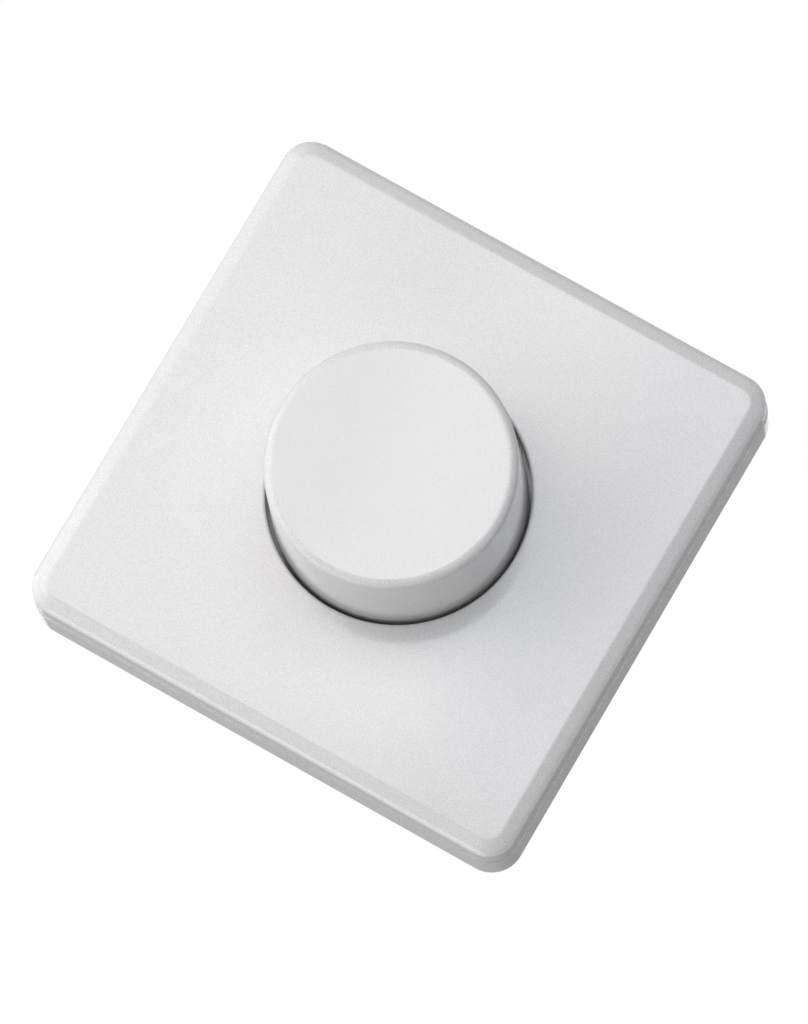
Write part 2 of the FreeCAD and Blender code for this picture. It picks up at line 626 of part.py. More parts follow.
def circuit_board():
    """Board behind the potentiometer, with room for the housing's bosses, the plunger and the leads."""
    board = insert_form(INSERT_WALL + BOARD_CLEARANCE, BOARD_BACK, BOARD_FRONT)
    cuts = [cylinder(SPINDLE_RADIUS + LOOSE_CLEARANCE, BOARD_BACK, BOARD_FRONT)]
    for x, y in HOUSING_SCREWS:
        cuts.append(cylinder(BOSS_RADIUS + BOARD_CLEARANCE, BOARD_BACK, BOARD_FRONT, x, y))
    for x, y in lead_points():
        cuts.append(cylinder(LEAD_RADIUS + SEAT_CLEARANCE, BOARD_BACK, BOARD_FRONT, x, y))
    cuts += [contact_slot(side, BOARD_BACK, BOARD_FRONT) for side in (-1, 1)]
    return board.cut(cuts)


def contact_slot(side, z_low, z_high):
    """Slot that a switch contact passes through."""
    width = CONTACT_THICK + 2 * SEAT_CLEARANCE
    middle = side * (CONTACT_OUTER - CONTACT_THICK / 2)
    return block(width, CONTACT_WIDTH + 2 * SEAT_CLEARANCE, z_low, z_high, middle)


def switch_case():
    """Moulded cup of the push switch, open to the rear, on the back of the circuit board."""
    cup = rounded_block(SWITCH_WIDTH, SWITCH_WIDTH, SWITCH_WALL, SWITCH_FLOOR, BOARD_BACK)
    inner = SWITCH_WIDTH - 2 * SWITCH_WALL
    cuts = [block(inner, inner, SWITCH_FLOOR, SWITCH_ROOF)]
    cuts.append(cylinder(PLUNGER_RADIUS + SLIDING_CLEARANCE, SWITCH_ROOF, BOARD_BACK))
    cuts += [contact_slot(side, SWITCH_ROOF, BOARD_BACK) for side in (-1, 1)]
    return cup.cut(cuts)


def switch_base():
    """Base of the push switch, with a stud for the return spring."""
    plate = rounded_block(SWITCH_WIDTH, SWITCH_WIDTH, SWITCH_WALL, SWITCH_BACK, SWITCH_FLOOR)
    return plate.fuse(cylinder(SPRING_STUD_RADIUS, SWITCH_FLOOR, SWITCH_FLOOR + SPRING_STUD_HEIGHT))


def switch_plunger():
    """Plunger pressed by the spindle, with a flange that stops under the roof of the case."""
    stem = cylinder(PLUNGER_RADIUS, PLUNGER_FLANGE_TOP, PLUNGER_TOP)
    flange = cylinder(PLUNGER_FLANGE_RADIUS, BRIDGE_TOP, PLUNGER_FLANGE_TOP)
    guide = cylinder(PLUNGER_GUIDE_RADIUS, BRIDGE_TOP - PLUNGER_GUIDE_LENGTH, BRIDGE_TOP)
    return stem.fuse([flange, guide])


def contact_bridge():
    """Contact strip that the spring holds against the plunger's flange."""
    strip = block(BRIDGE_LENGTH, BRIDGE_WIDTH, BRIDGE_BOTTOM, BRIDGE_TOP)
    return strip.cut(cylinder(PLUNGER_GUIDE_RADIUS + SEAT_CLEARANCE, BRIDGE_BOTTOM, BRIDGE_TOP))


def return_spring():
    """Coil spring under the contact bridge: tilted half rings, each in line with the next."""
    rise = BRIDGE_BOTTOM - SWITCH_FLOOR - SPRING_WIRE - 2 * SEAT_CLEARANCE
    low = SWITCH_FLOOR + SEAT_CLEARANCE + SPRING_WIRE / 2
    half_rise = rise / SPRING_HALF_TURNS
    halves = []
    for step in range(SPRING_HALF_TURNS):
        ahead = Vector(0, (-1) ** step, 0)
        start = Vector((-1) ** step * SPRING_RADIUS, 0, low + step * half_rise)
        middle = Vector(0, 0, low + (step + 0.5) * half_rise)
        section = Part.Face(Part.Wire(Part.makeCircle(SPRING_WIRE / 2, start, ahead)))
        halves.append(section.revolve(middle, (start - middle).cross(ahead), 180))
    return halves[0].fuse(halves[1:])


def switch_contacts():
    """Two fixed contacts that run up inside the case to the circuit board."""
    contacts = []
    for side in (-1, 1):
        strip_middle = side * (CONTACT_OUTER - CONTACT_THICK / 2)
        strip = block(CONTACT_THICK, CONTACT_WIDTH, CONTACT_TOP - CONTACT_THICK, BOARD_FRONT, strip_middle)
        foot_middle = side * (CONTACT_OUTER - CONTACT_FOOT / 2)
        foot = block(CONTACT_FOOT, CONTACT_WIDTH, CONTACT_TOP - CONTACT_THICK, CONTACT_TOP, foot_middle)
        contacts.append(strip.fuse(foot).removeSplitter())
    return Part.makeCompound(contacts)


def triac():
    """Power switch, flat against the support frame, with three leads bent to the circuit board."""
    x, y = TRIAC_HOLE
    body_middle = (TRIAC_BODY_LEFT + TRIAC_BODY_RIGHT) / 2
    body_back = -PAD_THICK - TRIAC_BODY_THICK
    body = block(TRIAC_BODY_LENGTH, TRIAC_WIDTH, body_back, -PAD_THICK, body_middle, y)
    tab = block(TRIAC_TAB_LENGTH, TRIAC_WIDTH, TAB_BACK, -PAD_THICK, x, y)
    tab = tab.cut(cylinder(TRIAC_SCREW_RADIUS + LOOSE_CLEARANCE, TAB_BACK, -PAD_THICK, x, y))
    leads = []
    height = -PAD_THICK - TRIAC_LEAD_DROP
    for lead_x, lead_y in lead_points()[:3]:
        out = rod_along(Vector(1, 0, 0), LEAD_RADIUS, TRIAC_LEAD_REACH, Vector(lead_x, lead_y, height))
        down = cylinder(LEAD_RADIUS, BOARD_BACK, height, lead_x, lead_y)
        knee = Part.makeSphere(LEAD_RADIUS, Vector(lead_x, lead_y, height))
        leads += [out, down, knee]
    return body.fuse([tab] + leads)


def triac_pad():
    """Insulating pad between the triac and the support frame."""
    x, y = TRIAC_HOLE
    length = TRIAC_BODY_LENGTH + TRIAC_TAB_LENGTH + 2 * PAD_BORDER
    middle = (TRIAC_BODY_LEFT + x + TRIAC_TAB_LENGTH / 2) / 2
    pad = block(length, TRIAC_WIDTH + 2 * PAD_BORDER, -PAD_THICK, 0, middle, y)
    return pad.cut(cylinder(TRIAC_SCREW_RADIUS + LOOSE_CLEARANCE, -PAD_THICK, 0, x, y))


def triac_screw():
    """Screw that presses the triac to the support frame."""
    length = FRAME_THICK - TAB_BACK + TRIAC_NUT_HEIGHT + TRIAC_SCREW_TAIL
    head = (TRIAC_SCREW_HEAD_RADIUS, TRIAC_SCREW_HEAD_HEIGHT)
    return pan_screw(*head, TRIAC_SCREW_RADIUS, length, *TRIAC_HOLE)


def triac_nut():
    """Nut behind the triac's tab."""
    low = TAB_BACK - TRIAC_NUT_HEIGHT
    body = hexagon(TRIAC_NUT_FLATS, low, TAB_BACK, *TRIAC_HOLE)
    return body.cut(cylinder(TRIAC_SCREW_RADIUS + THREAD_CLEARANCE, low, TAB_BACK, *TRIAC_HOLE))


def choke_core():
    """Ring core of the interference choke."""
    high = BOARD_BACK - LOOSE_CLEARANCE - CHOKE_WIRE
    return ring(CHOKE_OUTER, CHOKE_INNER, high - CHOKE_HEIGHT, high, *CHOKE_PLACE)


def choke_winding():
    """Turns of enamelled wire round the choke core."""
    high = BOARD_BACK - LOOSE_CLEARANCE
    low = high - CHOKE_HEIGHT - 2 * CHOKE_WIRE
    reach = CHOKE_OUTER - CHOKE_INNER
    middle = (CHOKE_OUTER + CHOKE_INNER) / 2
    room_low = low + CHOKE_WIRE - SEAT_CLEARANCE
    room_high = high - CHOKE_WIRE + SEAT_CLEARANCE
    outside = block(reach + 2 * CHOKE_WIRE, CHOKE_WIRE, low, high, middle)
    core_room = ring(CHOKE_OUTER + SEAT_CLEARANCE, CHOKE_INNER - SEAT_CLEARANCE, room_low, room_high)
    turn = outside.cut(core_room)
    turns = [turned(turn, 360 / CHOKE_TURNS * step) for step in range(CHOKE_TURNS)]
    winding = Part.makeCompound(turns)
    winding.translate(Vector(CHOKE_PLACE[0], CHOKE_PLACE[1], 0))
    return winding


def suppression_capacitor():
    """Boxed film capacitor on the back of the circuit board."""
    size = (BIG_CAPACITOR_WIDTH, BIG_CAPACITOR_TALL, CAPACITOR_CORNER)
    return rounded_block(*size, BOARD_BACK - BIG_CAPACITOR_HEIGHT, BOARD_BACK, *BIG_CAPACITOR_PLACE)


def timing_capacitor():
    """Boxed film capacitor on the front of the circuit board."""
    size = (SMALL_CAPACITOR_WIDTH, SMALL_CAPACITOR_TALL, CAPACITOR_CORNER)
    return rounded_block(*size, BOARD_FRONT, BOARD_FRONT + SMALL_CAPACITOR_HEIGHT, *SMALL_CAPACITOR_PLACE)


def axial_part(radius, length, x, y):
    """Round part lying along x, with its two leads bent down through the circuit board."""
    height = BOARD_FRONT + LEAD_STANDOFF + radius
    body = rod_along(Vector(1, 0, 0), radius, length, Vector(x - length / 2, y, height))
    reach = length / 2 + LEAD_REACH
    wire = rod_along(Vector(1, 0, 0), LEAD_RADIUS, 2 * reach, Vector(x - reach, y, height))
    legs = []
    for end in (-1, 1):
        legs.append(cylinder(LEAD_RADIUS, BOARD_BACK, height, x + end * reach, y))
        legs.append(Part.makeSphere(LEAD_RADIUS, Vector(x + end * reach, y, height)))
    return body.fuse([wire] + legs)


def resistors():
    """Two resistors on the front of the circuit board."""
    places = [side * RESISTOR_X for side in (-1, 1)]
    return Part.makeCompound([axial_part(RESISTOR_RADIUS, RESISTOR_LENGTH, x, RESISTOR_Y) for x in places])


def trigger_diode():
    """Trigger diode of the triac."""
    return axial_part(DIODE_RADIUS, DIODE_LENGTH, 0, DIODE_Y)


def along_fuse(radius, length, start):
    """Round bar on the fuse's axis, from a distance along it."""
    origin = Vector(FUSE_PLACE[0], FUSE_PLACE[1] - FUSE_LENGTH / 2 + start, FUSE_AXIS)
    return rod_along(Vector(0, 1, 0), radius, length, origin)


def fuse_tube():
    """Glass tube of the fuse."""
    radius = FUSE_RADIUS - FUSE_CAP_WALL - SEAT_CLEARANCE
    start = FUSE_CAP_WALL + SEAT_CLEARANCE
    length = FUSE_LENGTH - 2 * start
    return along_fuse(radius, length, start).cut(along_fuse(radius - FUSE_GLASS, length, start))


def fuse_caps():
    """Two metal caps on the ends of the fuse."""
    room = FUSE_CAP_LENGTH - FUSE_CAP_WALL
    near = along_fuse(FUSE_RADIUS, FUSE_CAP_LENGTH, 0)
    near = near.cut(along_fuse(FUSE_RADIUS - FUSE_CAP_WALL, room, FUSE_CAP_WALL))
    far_start = FUSE_LENGTH - FUSE_CAP_LENGTH
    far = along_fuse(FUSE_RADIUS, FUSE_CAP_LENGTH, far_start)
    far = far.cut(along_fuse(FUSE_RADIUS - FUSE_CAP_WALL, room, far_start))
    return Part.makeCompound([near, far])


def fuse_clips():
    """Two spring clips that hold the fuse on the circuit board."""
    inner = FUSE_RADIUS + SEAT_CLEARANCE
    outer = inner + CLIP_SPRING_THICK
    clips = []
    for start in (0, FUSE_LENGTH - FUSE_CAP_LENGTH):
        offset = start + (FUSE_CAP_LENGTH - CLIP_SPRING_WIDTH) / 2
        hoop = along_fuse(outer, CLIP_SPRING_WIDTH, offset)
        y = FUSE_PLACE[1] - FUSE_LENGTH / 2 + offset + CLIP_SPRING_WIDTH / 2
        foot = block(FUSE_RADIUS, CLIP_SPRING_WIDTH, FUSE_AXIS, BOARD_BACK, FUSE_PLACE[0], y)
        mouth = block(FUSE_RADIUS, CLIP_SPRING_WIDTH, FUSE_AXIS - 2 * outer, FUSE_AXIS, FUSE_PLACE[0], y)
        bore = along_fuse(inner, CLIP_SPRING_WIDTH, offset)
        clips.append(hoop.fuse(foot).cut([bore, mouth]).removeSplitter())
    return Part.makeCompound(clips)


def terminal_block():
    """Moulded block on the back of the circuit board, with one pocket for each terminal."""
    width = TERMINAL_PITCH * (TERMINAL_COUNT - 1) + CAGE_WIDTH + 2 * TERMINAL_WALL
    tall = CAGE_TALL + 2 * TERMINAL_WALL
    body = block(width, tall, CAGE_BACK - TERMINAL_WALL, BOARD_BACK, 0, CAGE_MIDDLE)
    down = Vector(0, -1, 0)
    screw_height = (CAGE_FRONT + CAGE_BACK) / 2
    cuts = []
    for x in TERMINAL_PLACES:
        pocket = (CAGE_WIDTH + 2 * SEAT_CLEARANCE, CAGE_TALL + 2 * SEAT_CLEARANCE)
        cuts.append(block(*pocket, CAGE_BACK - SEAT_CLEARANCE, CAGE_FRONT + SEAT_CLEARANCE, x, CAGE_MIDDLE))
        cuts.append(cylinder(WIRE_RADIUS, CAGE_BACK - TERMINAL_WALL, CAGE_BACK, x, CAGE_MIDDLE))
        start = Vector(x, CAGE_MIDDLE, screw_height)
        cuts.append(rod_along(down, TERMINAL_HEAD_RADIUS + LOOSE_CLEARANCE, CAGE_TALL, start))
    return body.cut(cuts)


def terminal_cages():
    """Brass clamps, each with a bore for the wire and a tapped hole for its screw."""
    screw_height = (CAGE_FRONT + CAGE_BACK) / 2
    cages = []
    for x in TERMINAL_PLACES:
        cage = block(CAGE_WIDTH, CAGE_TALL, CAGE_BACK, CAGE_FRONT, x, CAGE_MIDDLE)
        wire_bore = cylinder(WIRE_RADIUS, CAGE_BACK, CAGE_FRONT, x, CAGE_MIDDLE)
        start = Vector(x, CAGE_MIDDLE, screw_height)
        tapped = rod_along(Vector(0, -1, 0), TERMINAL_SCREW_RADIUS + THREAD_CLEARANCE, CAGE_TALL, start)
        cages.append(cage.cut([wire_bore, tapped]))
    return Part.makeCompound(cages)


def terminal_screws():
    """Slotted clamp screws, reached through the lower wall of the housing."""
    screw_height = (CAGE_FRONT + CAGE_BACK) / 2
    up = Vector(0, 1, 0)
    screws = []
    for x in TERMINAL_PLACES:
        head_start = Vector(x, CAGE_BOTTOM - TERMINAL_HEAD_HEIGHT, screw_height)
        head = rod_along(up, TERMINAL_HEAD_RADIUS, TERMINAL_HEAD_HEIGHT, head_start)
        notch_low = screw_height - SCREW_SLOT_WIDTH / 2
        notch_corner = Vector(x - TERMINAL_HEAD_RADIUS, head_start.y, notch_low)
        notch = Part.makeBox(2 * TERMINAL_HEAD_RADIUS, SCREW_SLOT_DEPTH, SCREW_SLOT_WIDTH, notch_corner)
        shank_start = Vector(x, CAGE_BOTTOM, screw_height)
        shank = rod_along(up, TERMINAL_SCREW_RADIUS, TERMINAL_SCREW_REACH, shank_start)
        screws.append(head.cut(notch).fuse(shank))
    return Part.makeCompound(screws)


def side_ribs():
    """Stiffening ribs on the left and right flats of the housing, from the collar backwards."""
    ribs = []
    low = -COLLAR_THICK - SIDE_RIB_LENGTH
    width = INSERT_WALL + SIDE_RIB_RAISE
    middle = INSERT_WIDTH / 2 + SIDE_RIB_RAISE - width / 2
    for step in range(SIDE_RIB_COUNT):
        y = SIDE_RIB_PITCH * (step - (SIDE_RIB_COUNT - 1) / 2)
        ribs += [block(width, SIDE_RIB_THICK, low, -COLLAR_THICK, side * middle, y) for side in (-1, 1)]
    return ribs


def insert_housing():
    """Moulded rear housing with a collar, side ribs, screw bosses, wire holes and a stripping gauge."""
    back = -INSERT_DEPTH
    drum = insert_form(0, back, 0)
    drum = drum.makeFillet(INSERT_BACK_ROUND, edges_at(drum, back))
    drum = drum.fuse([insert_form(-COLLAR_REACH, -COLLAR_THICK, 0)] + side_ribs())
    drum = drum.cut(slot(GAUGE_LENGTH, GAUGE_WIDTH, back, back + GAUGE_DEPTH, 0, GAUGE_RAISE))
    shell = drum.cut(insert_form(INSERT_WALL, INSERT_FLOOR, 0))
    bosses = [cylinder(BOSS_RADIUS, INSERT_FLOOR, 0, x, y) for x, y in HOUSING_SCREWS]
    bosses = [boss.common(insert_form(INSERT_WALL / 2, INSERT_FLOOR, 0)) for boss in bosses]
    shell = shell.fuse(bosses)
    pilot = SCREW_RADIUS + THREAD_CLEARANCE
    cuts = [cylinder(pilot, -SCREW_LENGTH, 0, x, y) for x, y in HOUSING_SCREWS]
    screw_height = (CAGE_FRONT + CAGE_BACK) / 2
    for x in TERMINAL_PLACES:
        cuts.append(cylinder(WIRE_RADIUS, back, INSERT_FLOOR, x, CAGE_MIDDLE))
        start = Vector(x, HOUSING_BOTTOM, screw_height)
        cuts.append(rod_along(Vector(0, 1, 0), TERMINAL_HEAD_RADIUS + LOOSE_CLEARANCE, INSERT_WALL, start))
    return shell.cut(cuts).removeSplitter()


def housing_screws():
    """Four screws that hold the housing to the support frame."""
    size = (SCREW_HEAD_RADIUS, SCREW_HEAD_HEIGHT, SCREW_RADIUS, SCREW_LENGTH)
    return Part.makeCompound([pan_screw(*size, x, y) for x, y in HOUSING_SCREWS])


PIECES = [
    cover_plate, knob, knob_grip_ring, plate_nut, bush_nut, lock_washer, support_frame, threaded_bush,
    spindle, spindle_clip, pot_case, track_wafer, wiper_rotor, wiper_spring, circuit_board, switch_case,
    switch_base, switch_plunger, contact_bridge, return_spring, switch_contacts, triac, triac_pad,
    triac_screw, triac_nut, choke_core, choke_winding, suppression_capacitor, timing_capacitor, resistors,
    trigger_diode, fuse_tube, fuse_caps, fuse_clips, terminal_block, terminal_cages, terminal_screws,
    insert_housing, housing_screws,
]


def main():
    """Build every piece, turn it upright and write it."""
    os.makedirs("parts", exist_ok=True)
    for piece in PIECES:
        shape = piece()
        shape.rotate(Vector(0, 0, 0), Vector(1, 0, 0), 90)
        shape.exportStep(f"parts/{piece.__name__}.step")
        print(piece.__name__, len(shape.Solids), round(shape.Volume, 2), shape.isValid())


main()
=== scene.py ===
"""Looks of a flush-mounted rotary dimmer: finishes, fine pieces, light and camera round its CAD frame.

Lengths are in metres. The wall is the plane Y = 0, the room lies towards -Y and up is +Z.
"""
import logging
import math
from dataclasses import dataclass, field
from enum import Enum
from typing import Any, Union

import bpy
from mathutils import Matrix, Vector


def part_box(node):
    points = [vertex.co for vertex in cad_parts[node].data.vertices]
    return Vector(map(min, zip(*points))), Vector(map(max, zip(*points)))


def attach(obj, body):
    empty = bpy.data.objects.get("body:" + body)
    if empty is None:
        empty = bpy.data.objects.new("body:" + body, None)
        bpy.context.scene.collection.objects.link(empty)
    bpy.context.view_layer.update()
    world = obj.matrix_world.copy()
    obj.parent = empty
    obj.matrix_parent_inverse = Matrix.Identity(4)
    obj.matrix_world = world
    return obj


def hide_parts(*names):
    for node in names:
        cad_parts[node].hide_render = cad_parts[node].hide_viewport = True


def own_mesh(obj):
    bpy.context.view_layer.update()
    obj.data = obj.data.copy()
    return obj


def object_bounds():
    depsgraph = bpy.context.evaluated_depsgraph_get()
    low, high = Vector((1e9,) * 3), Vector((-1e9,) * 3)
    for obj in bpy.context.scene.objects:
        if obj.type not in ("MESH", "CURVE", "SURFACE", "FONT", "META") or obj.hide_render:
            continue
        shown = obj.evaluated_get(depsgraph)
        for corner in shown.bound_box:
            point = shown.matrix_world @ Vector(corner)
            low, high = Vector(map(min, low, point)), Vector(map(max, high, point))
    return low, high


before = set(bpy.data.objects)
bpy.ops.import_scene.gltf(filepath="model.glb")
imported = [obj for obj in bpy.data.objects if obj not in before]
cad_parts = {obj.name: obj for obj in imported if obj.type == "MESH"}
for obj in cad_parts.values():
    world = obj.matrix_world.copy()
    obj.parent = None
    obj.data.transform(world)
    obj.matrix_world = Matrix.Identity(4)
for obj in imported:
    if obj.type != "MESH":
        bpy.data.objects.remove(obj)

CAD_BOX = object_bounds()
MM = 0.001
MERGE_REACH = 0.001 * MM
LOG = logging.getLogger("dimmer")

Colour = tuple[float, float, float]
WHITE: Colour = (1.0, 1.0, 1.0)
Feed = Union["Signal", float, tuple, Vector]


class Signal:
    """One output of a shader node. Arithmetic on it adds Math nodes to the same paint."""

    def __init__(self, paint: "Paint", socket: bpy.types.NodeSocket) -> None:
        """Keep the paint and the socket that this signal stands for."""
        self.paint = paint
        self.socket = socket

    def _math(self, operation: str, first: Feed, second: Feed) -> "Signal":
        """Add a Math node.

        Args:
            operation: name of the Math node's operation.
            first: signal or number for its first socket.
            second: signal or number for its second socket.

        Returns:
            The node's result.
        """
        return self.paint.add("ShaderNodeMath", {"operation": operation}, {0: first, 1: second})

    def __add__(self, other: Feed) -> "Signal":
        """Sum with a number or a signal."""
        return self._math("ADD", self, other)

    def __radd__(self, other: Feed) -> "Signal":
        """Sum with a number on the left."""
        return self._math("ADD", other, self)

    def __sub__(self, other: Feed) -> "Signal":
        """Difference from a number or a signal."""
        return self._math("SUBTRACT", self, other)

    def __rsub__(self, other: Feed) -> "Signal":
        """Difference with a number on the left."""
        return self._math("SUBTRACT", other, self)

    def __mul__(self, other: Feed) -> "Signal":
        """Product with a number or a signal."""
        return self._math("MULTIPLY", self, other)

    def __rmul__(self, other: Feed) -> "Signal":
        """Product with a number on the left."""
        return self._math("MULTIPLY", other, self)

    def __truediv__(self, other: Feed) -> "Signal":
        """Quotient by a number or a signal."""
        return self._math("DIVIDE", self, other)

    def __gt__(self, other: Feed) -> "Signal":
        """One where this signal is the greater, else nought."""
        return self._math("GREATER_THAN", self, other)

    def most(self, other: Feed) -> "Signal":
        """The greater of two signals."""
        return self._math("MAXIMUM", self, other)


class Paint:
    """Node tree of one material or of the world, filled by one method that adds any node."""

    def __init__(self, tree: bpy.types.NodeTree, output_kind: str) -> None:
        """Empty the tree and give it its output node.

        Args:
            tree: node tree to fill.
            output_kind: type of its output node.
        """
        self.tree = tree
        self.tree.nodes.clear()
        self.output = self.tree.nodes.new(output_kind)

    def add(self, kind: str, settings: dict[str, Any] | None = None,
            feeds: dict[str | int, Feed] | None = None, out: str | int = 0) -> Signal:
        """Add a node.

        Args:
            kind: type name of the node.
            settings: properties of the node, set first.
            feeds: values or links of its input sockets.
            out: output socket to hand back.

        Returns:
            The chosen output as a signal.
        """
        node = self.tree.nodes.new(kind)
        for key, value in (settings or {}).items():
            setattr(node, key, value)
        for key, value in (feeds or {}).items():
            self.feed(node.inputs[key], value)
        return Signal(self, node.outputs[out])

    def feed(self, socket: bpy.types.NodeSocket, value: Feed) -> None:
        """Link a signal to a socket, or set its value.

        Args:
            socket: input socket.
            value: signal, number, vector or colour.
        """
        if isinstance(value, Signal):
            self.tree.links.new(value.socket, socket)
        elif isinstance(value, tuple) and socket.type == "RGBA":
            socket.default_value = (*value, 1.0)
        else:
            socket.default_value = value

    def place(self, turn: tuple[float, float, float] = (0, 0, 0),
              stretch: tuple[float, float, float] = (1, 1, 1)) -> Signal:
        """Object coordinates, turned and stretched for a pattern.

        Args:
            turn: rotation in degrees.
            stretch: scale along each axis.

        Returns:
            The mapped coordinates.
        """
        point = self.add("ShaderNodeTexCoord", out="Object")
        angles = tuple(math.radians(angle) for angle in turn)
        return self.add("ShaderNodeMapping", None, {"Vector": point, "Rotation": angles, "Scale": stretch})

    def noise(self, place: Signal, size: float, detail: float = 2.0, rough: float = 0.5) -> Signal:
        """Noise with a feature size in metres.

        Args:
            place: coordinates.
            size: size of one feature.
            detail: number of finer octaves.
            rough: weight of the finer octaves.

        Returns:
            The noise value, about 0.5 on average.
        """
        return self.add("ShaderNodeTexNoise", None,
                        {"Vector": place, "Scale": 1 / size, "Detail": detail, "Roughness": rough})

    def blend(self, first: Feed, second: Feed, share: Feed) -> Signal:
        """Mix two colours.

        Args:
            first: colour where the share is 0.
            second: colour where the share is 1.
            share: factor of the mix.

        Returns:
            The mixed colour.
        """
        return self.add("ShaderNodeMix", {"data_type": "RGBA"}, {0: share, 6: first, 7: second}, out=2)

    def spread(self, value: Signal, low: float, high: float, start: float = 0.0, end: float = 1.0) -> Signal:
        """Map a signal from one range to another, held at the ends.

        Args:
            value: signal to map.
            low: value that becomes start.
            high: value that becomes end.
            start: result at low.
            end: result at high.

        Returns:
            The mapped signal.
        """
        return self.add("ShaderNodeMapRange", {"clamp": True},
                        {"Value": value, "From Min": low, "From Max": high, "To Min": start, "To Max": end})

    def bump(self, height: Signal, depth: float) -> Signal:
        """Turn a height signal into a normal.

        Args:
            height: height signal from 0 to 1.
            depth: height of 1, in metres.

        Returns:
            The bent normal.
        """
        return self.add("ShaderNodeBump", None, {"Height": height, "Distance": depth, "Strength": 1.0})

    def surface(self, feeds: dict[str | int, Feed]) -> None:
        """End the tree in a Principled shader.

        Args:
            feeds: values or links of the shader's sockets.
        """
        self.close(self.add("ShaderNodeBsdfPrincipled", None, feeds))

    def close(self, shader: Signal) -> None:
        """Link a shader to the output's surface."""
        self.tree.links.new(shader.socket, self.output.inputs["Surface"])


def new_paint(name: str) -> tuple[bpy.types.Material, Paint]:
    """Make an empty material.

    Args:
        name: name of the material.

    Returns:
        The material and the paint that fills its tree.
    """
    material = bpy.data.materials.new(name)
    material.use_nodes = True
    return material, Paint(material.node_tree, "ShaderNodeOutputMaterial")


def shade(colour: Colour, factor: float) -> Colour:
    """A colour made lighter or darker by a factor."""
    return tuple(min(1.0, part * factor) for part in colour)


class Grain(Enum):
    """Direction in which a metal was rolled, drawn or turned, as the stretch of its fine lines."""

    LEVEL = (0.06, 1.0, 1.0)
    UPRIGHT = (1.0, 1.0, 0.06)
    INTO_WALL = (1.0, 0.06, 1.0)
    NONE = (1.0, 1.0, 1.0)


@dataclass(frozen=True)
class MouldedPlastic:
    """Moulded plastic with the fine spark-eroded texture of its mould and a faint cloud of tone."""

    name: str
    colour: Colour
    roughness: float
    grain_size: float = 0.28 * MM
    grain_depth: float = 0.012 * MM
    grain_tone: float = 0.03
    cloud_tone: float = 0.015
    cloud_size: float = 14 * MM
    specular: float = 0.4
    gloss: float = 0.0
    gloss_roughness: float = 0.1
    grain_rough: float = 0.12
    cloud_rough: float = 0.08

    def make(self) -> bpy.types.Material:
        """Build the material.

        Returns:
            The finished material.
        """
        material, paint = new_paint(self.name)
        place = paint.place()
        grain = paint.noise(place, self.grain_size, detail=2.0, rough=0.6)
        cloud = paint.noise(place, self.cloud_size, detail=3.0)
        reach = self.grain_tone + self.cloud_tone
        of_grain, of_cloud = 2 * self.grain_tone / reach, 2 * self.cloud_tone / reach
        tone = 0.5 + (grain - 0.5) * of_grain + (cloud - 0.5) * of_cloud
        base = paint.blend(shade(self.colour, 1 - reach), shade(self.colour, 1 + reach), tone)
        rough = self.roughness + (grain - 0.5) * self.grain_rough + (cloud - 0.5) * self.cloud_rough
        paint.surface({
            "Base Color": base,
            "Roughness": rough,
            "Specular IOR Level": self.specular,
            "Coat Weight": self.gloss,
            "Coat Roughness": self.gloss_roughness,
            "Normal": paint.bump(grain, self.grain_depth),
        })
        return material


@dataclass(frozen=True)
class PlatedMetal:
    """Metal with fine lines from rolling or turning and a thin uneven film of plating."""

    name: str
    colour: Colour
    film: Colour
    roughness: float
    grain: Grain = Grain.NONE
    line_size: float = 0.12 * MM
    line_depth: float = 0.004 * MM
    film_size: float = 5 * MM
    film_share: float = 0.5
    film_starts: float = 0.42
    film_full: float = 0.68
    line_rough: float = 0.25
    film_rough: float = 0.12

    def make(self) -> bpy.types.Material:
        """Build the material.

        Returns:
            The finished material.
        """
        material, paint = new_paint(self.name)
        lines = paint.noise(paint.place(stretch=self.grain.value), self.line_size, detail=3.0, rough=0.65)
        patch = paint.noise(paint.place(), self.film_size, detail=4.0, rough=0.6)
        film = paint.spread(patch, self.film_starts, self.film_full, 0.0, self.film_share)
        base = paint.blend(self.colour, self.film, film)
        rough = self.roughness + (lines - 0.5) * self.line_rough + film * self.film_rough
        paint.surface({
            "Base Color": base,
            "Metallic": 1.0,
            "Roughness": rough,
            "Normal": paint.bump(lines, self.line_depth),
        })
        return material


@dataclass(frozen=True)
class PaperLaminate:
    """Resin-bonded board with paper fibres in its face."""

    name: str
    colour: Colour
    roughness: float = 0.42
    fibre_size: float = 0.5 * MM
    fibre_turn: float = 35.0
    fibre_stretch: float = 0.15
    fibre_tone: float = 0.2
    fibre_rough: float = 0.2
    fibre_depth: float = 0.01 * MM

    def make(self) -> bpy.types.Material:
        """Build the material.

        Returns:
            The finished material.
        """
        material, paint = new_paint(self.name)
        along = paint.place(turn=(0, self.fibre_turn, 0), stretch=(self.fibre_stretch, 1, 1))
        fibres = paint.noise(along, self.fibre_size, detail=4.0)
        speck = paint.noise(paint.place(), 2 * self.fibre_size, detail=2.0)
        base = paint.blend(shade(self.colour, 1 - self.fibre_tone), shade(self.colour, 1 + self.fibre_tone),
                           (fibres + speck) / 2)
        paint.surface({
            "Base Color": base,
            "Roughness": self.roughness + (fibres - 0.5) * self.fibre_rough,
            "Normal": paint.bump(fibres, self.fibre_depth),
        })
        return material


